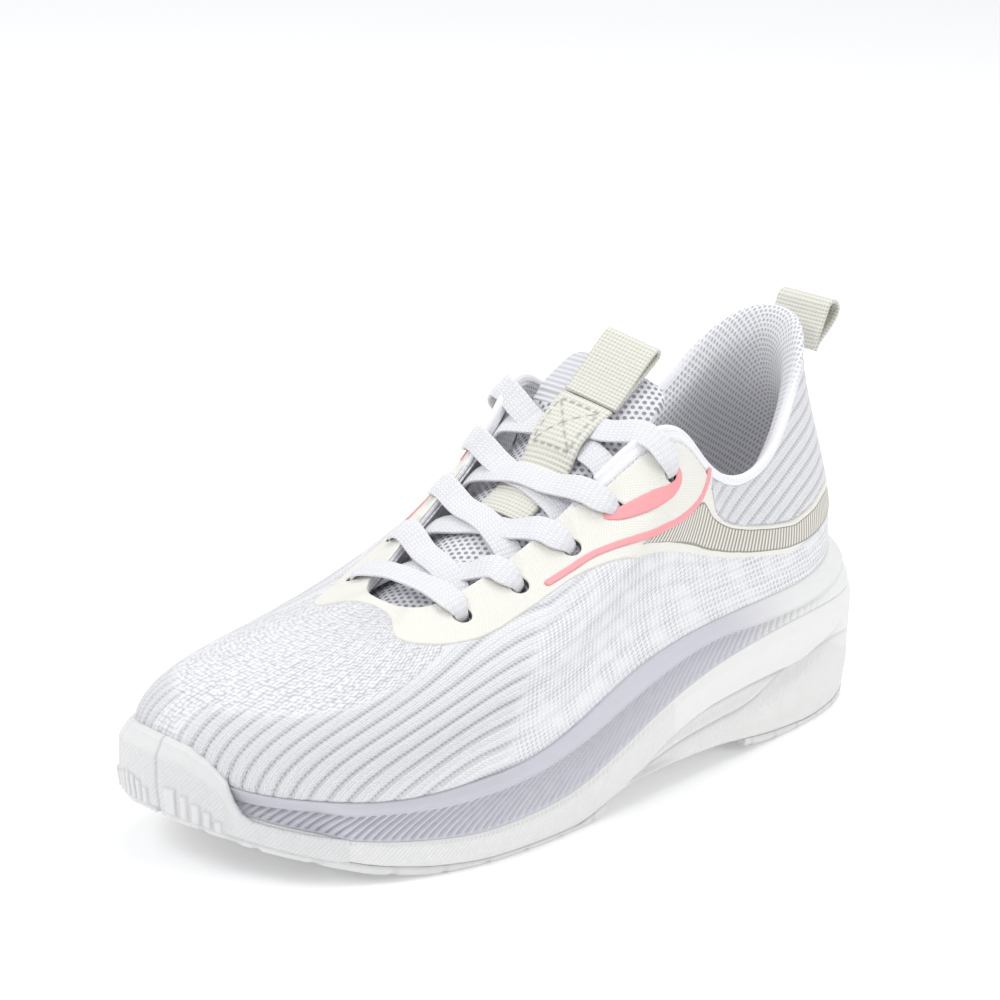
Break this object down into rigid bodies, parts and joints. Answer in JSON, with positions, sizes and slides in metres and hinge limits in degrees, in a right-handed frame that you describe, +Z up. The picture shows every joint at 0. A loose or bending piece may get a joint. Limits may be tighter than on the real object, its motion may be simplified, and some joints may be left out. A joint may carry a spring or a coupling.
{
  "type": "running shoe",
  "caption": "Left running shoe with ribbed knit upper, fused film eyestay and heel band, laced tongue, pull loops and thick two-part foam sole.",
  "frame": {"origin": "middle of the shoe's bounding box, on the ground", "axes": "+X forward to the toe, +Y to the outer (lateral) side of this left shoe, +Z up"},
  "size_m": [0.2802, 0.0988, 0.1357],
  "materials": {
    "tread_rubber": "matte, fine diagonal texture",
    "white_foam": "matte moulded foam",
    "lilac_foam": "matte foam",
    "board_fabric": "stitched board",
    "lining_fabric": "pin-hole mesh",
    "knit": "ribbed knit",
    "cream_film": "satin fused film",
    "grey_film": "striped print film",
    "pink_film": "satin film",
    "stiffener": "thermoplastic sheet",
    "webbing": "woven webbing",
    "lace_fabric": "flat braided lace"
  },
  "bodies": {
    "shoe": {"outsole_forefoot": "tread_rubber", "outsole_heel_lateral": "tread_rubber", "outsole_heel_medial": "tread_rubber", "midsole_carrier": "white_foam", "midsole_insert": "lilac_foam", "toe_bumper": "tread_rubber", "strobel_board": "board_fabric", "upper_knit": "knit", "overlay_film": "cream_film", "stripe_film": "grey_film", "accent_line_lateral": "pink_film", "accent_patch_lateral": "pink_film", "accent_line_medial": "pink_film", "accent_patch_medial": "pink_film", "eyestay_backing": "board_fabric", "toe_puff": "stiffener", "heel_counter": "stiffener", "collar_foam": "lilac_foam", "collar_lining": "lining_fabric", "tongue_base": "lining_fabric", "tongue_strap": "webbing", "lace": "lace_fabric"},
    "sockliner": {"sockliner_foam": "lilac_foam", "sockliner_cover": "lining_fabric"},
    "tongue_top": {"tongue_face": "lining_fabric", "tongue_foam": "lilac_foam", "tongue_lining": "lining_fabric"},
    "tongue_loop": {"tongue_pull_loop": "webbing"},
    "heel_loop": {"heel_pull_loop": "webbing"}
  },
  "joints": [
    {"name": "sockliner_lift", "type": "hinge", "parent": "shoe", "child": "sockliner", "pos_m": [0.1278, 0, 0.0254], "axis": [0, 1, 0], "range_deg": [0, 4]},
    {"name": "tongue_fold", "type": "hinge", "parent": "shoe", "child": "tongue_top", "pos_m": [-0.0208, -0.00075, 0.1115], "axis": [0, 1, 0], "range_deg": [-6, 30], "stiffness_Nm_per_rad": 0.02},
    {"name": "tongue_loop_swing", "type": "hinge", "parent": "tongue_top", "child": "tongue_loop", "pos_m": [-0.022, -0.00075, 0.1145], "axis": [0, 1, 0], "range_deg": [0, 50], "stiffness_Nm_per_rad": 0.004},
    {"name": "heel_loop_swing", "type": "hinge", "parent": "shoe", "child": "heel_loop", "pos_m": [-0.117, -0.00075, 0.1155], "axis": [0, 1, 0], "range_deg": [-45, 0], "stiffness_Nm_per_rad": 0.004}
  ]
}
